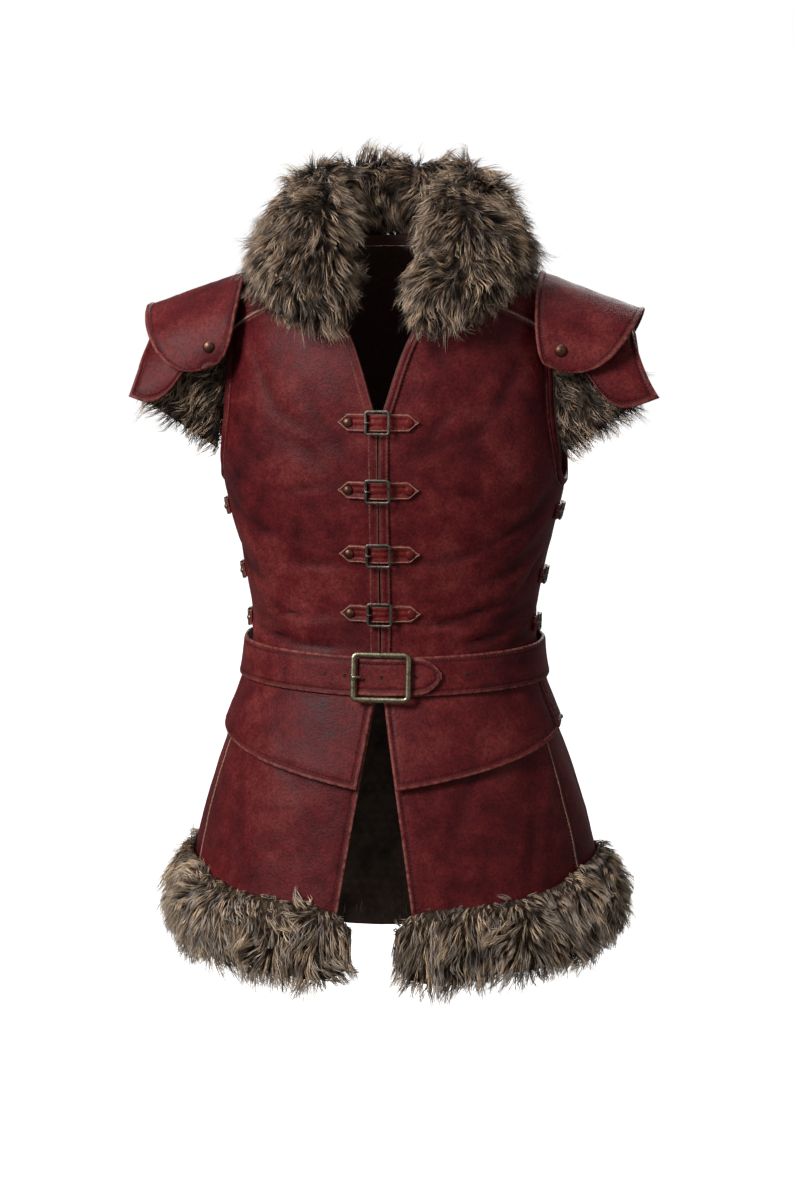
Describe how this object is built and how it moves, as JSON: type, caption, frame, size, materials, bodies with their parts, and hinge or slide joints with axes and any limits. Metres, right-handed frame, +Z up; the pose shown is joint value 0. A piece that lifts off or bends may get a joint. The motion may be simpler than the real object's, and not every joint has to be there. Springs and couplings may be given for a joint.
{
  "type": "leather vest",
  "caption": "Sleeveless leather tunic vest with fur collar, layered shoulder caps, strap-and-buckle front, belt, peplum and split skirt with fur hem, held in its worn form.",
  "frame": {"origin": "between the shoulders, at the height where a wearer's shoulders carry the vest", "axes": "+Z up, the front of the vest faces -Y, +X is the wearer's left"},
  "size_m": [0.6, 0.4181, 0.9586],
  "materials": {
    "oxblood_leather": "deep oxblood cowhide, waxed, satin, worn lighter on its edges",
    "strap_leather": "redder oxblood strap leather",
    "fur": "long brown-grey fur with blond tips and dark roots",
    "lining_cloth": "dark brown plain cloth",
    "pewter": "dark pewter, worn",
    "old_brass": "antique brass, dulled, bright on its edges"
  },
  "bodies": {
    "root": {"front_panel_right": "oxblood_leather", "back_panel_right": "oxblood_leather", "yoke_right": "oxblood_leather", "fur_collar_right": "fur", "front_band_right": "oxblood_leather", "armhole_band_right": "oxblood_leather", "fur_sleeve_right": "fur", "cap_upper_right": "oxblood_leather", "cap_lower_right": "oxblood_leather", "cap_rivet_right": "pewter", "peplum_right": "oxblood_leather", "skirt_right": "oxblood_leather", "fur_hem_right": "fur", "side_fastening_right_1": "strap_leather", "side_fastening_right_2": "strap_leather", "side_fastening_right_3": "strap_leather", "front_panel_left": "oxblood_leather", "back_panel_left": "oxblood_leather", "yoke_left": "oxblood_leather", "fur_collar_left": "fur", "front_band_left": "oxblood_leather", "armhole_band_left": "oxblood_leather", "fur_sleeve_left": "fur", "cap_upper_left": "oxblood_leather", "cap_lower_left": "oxblood_leather", "cap_rivet_left": "pewter", "peplum_left": "oxblood_leather", "skirt_left": "oxblood_leather", "fur_hem_left": "fur", "side_fastening_left_1": "strap_leather", "side_fastening_left_2": "strap_leather", "side_fastening_left_3": "strap_leather", "collar_stand": "oxblood_leather", "peplum_back": "oxblood_leather", "skirt_back": "oxblood_leather", "skirt_lining": "lining_cloth", "fur_hem_back": "fur", "front_tab_1": "strap_leather", "front_rivet_1": "pewter", "front_billet_1": "strap_leather", "front_buckle_1": "pewter", "front_tab_2": "strap_leather", "front_rivet_2": "pewter", "front_billet_2": "strap_leather", "front_buckle_2": "pewter", "front_tab_3": "strap_leather", "front_rivet_3": "pewter", "front_billet_3": "strap_leather", "front_buckle_3": "pewter", "front_tab_4": "strap_leather", "front_rivet_4": "pewter", "front_billet_4": "strap_leather", "front_buckle_4": "pewter", "belt": "oxblood_leather", "belt_end": "oxblood_leather", "belt_buckle": "old_brass"}
  },
  "joints": []
}
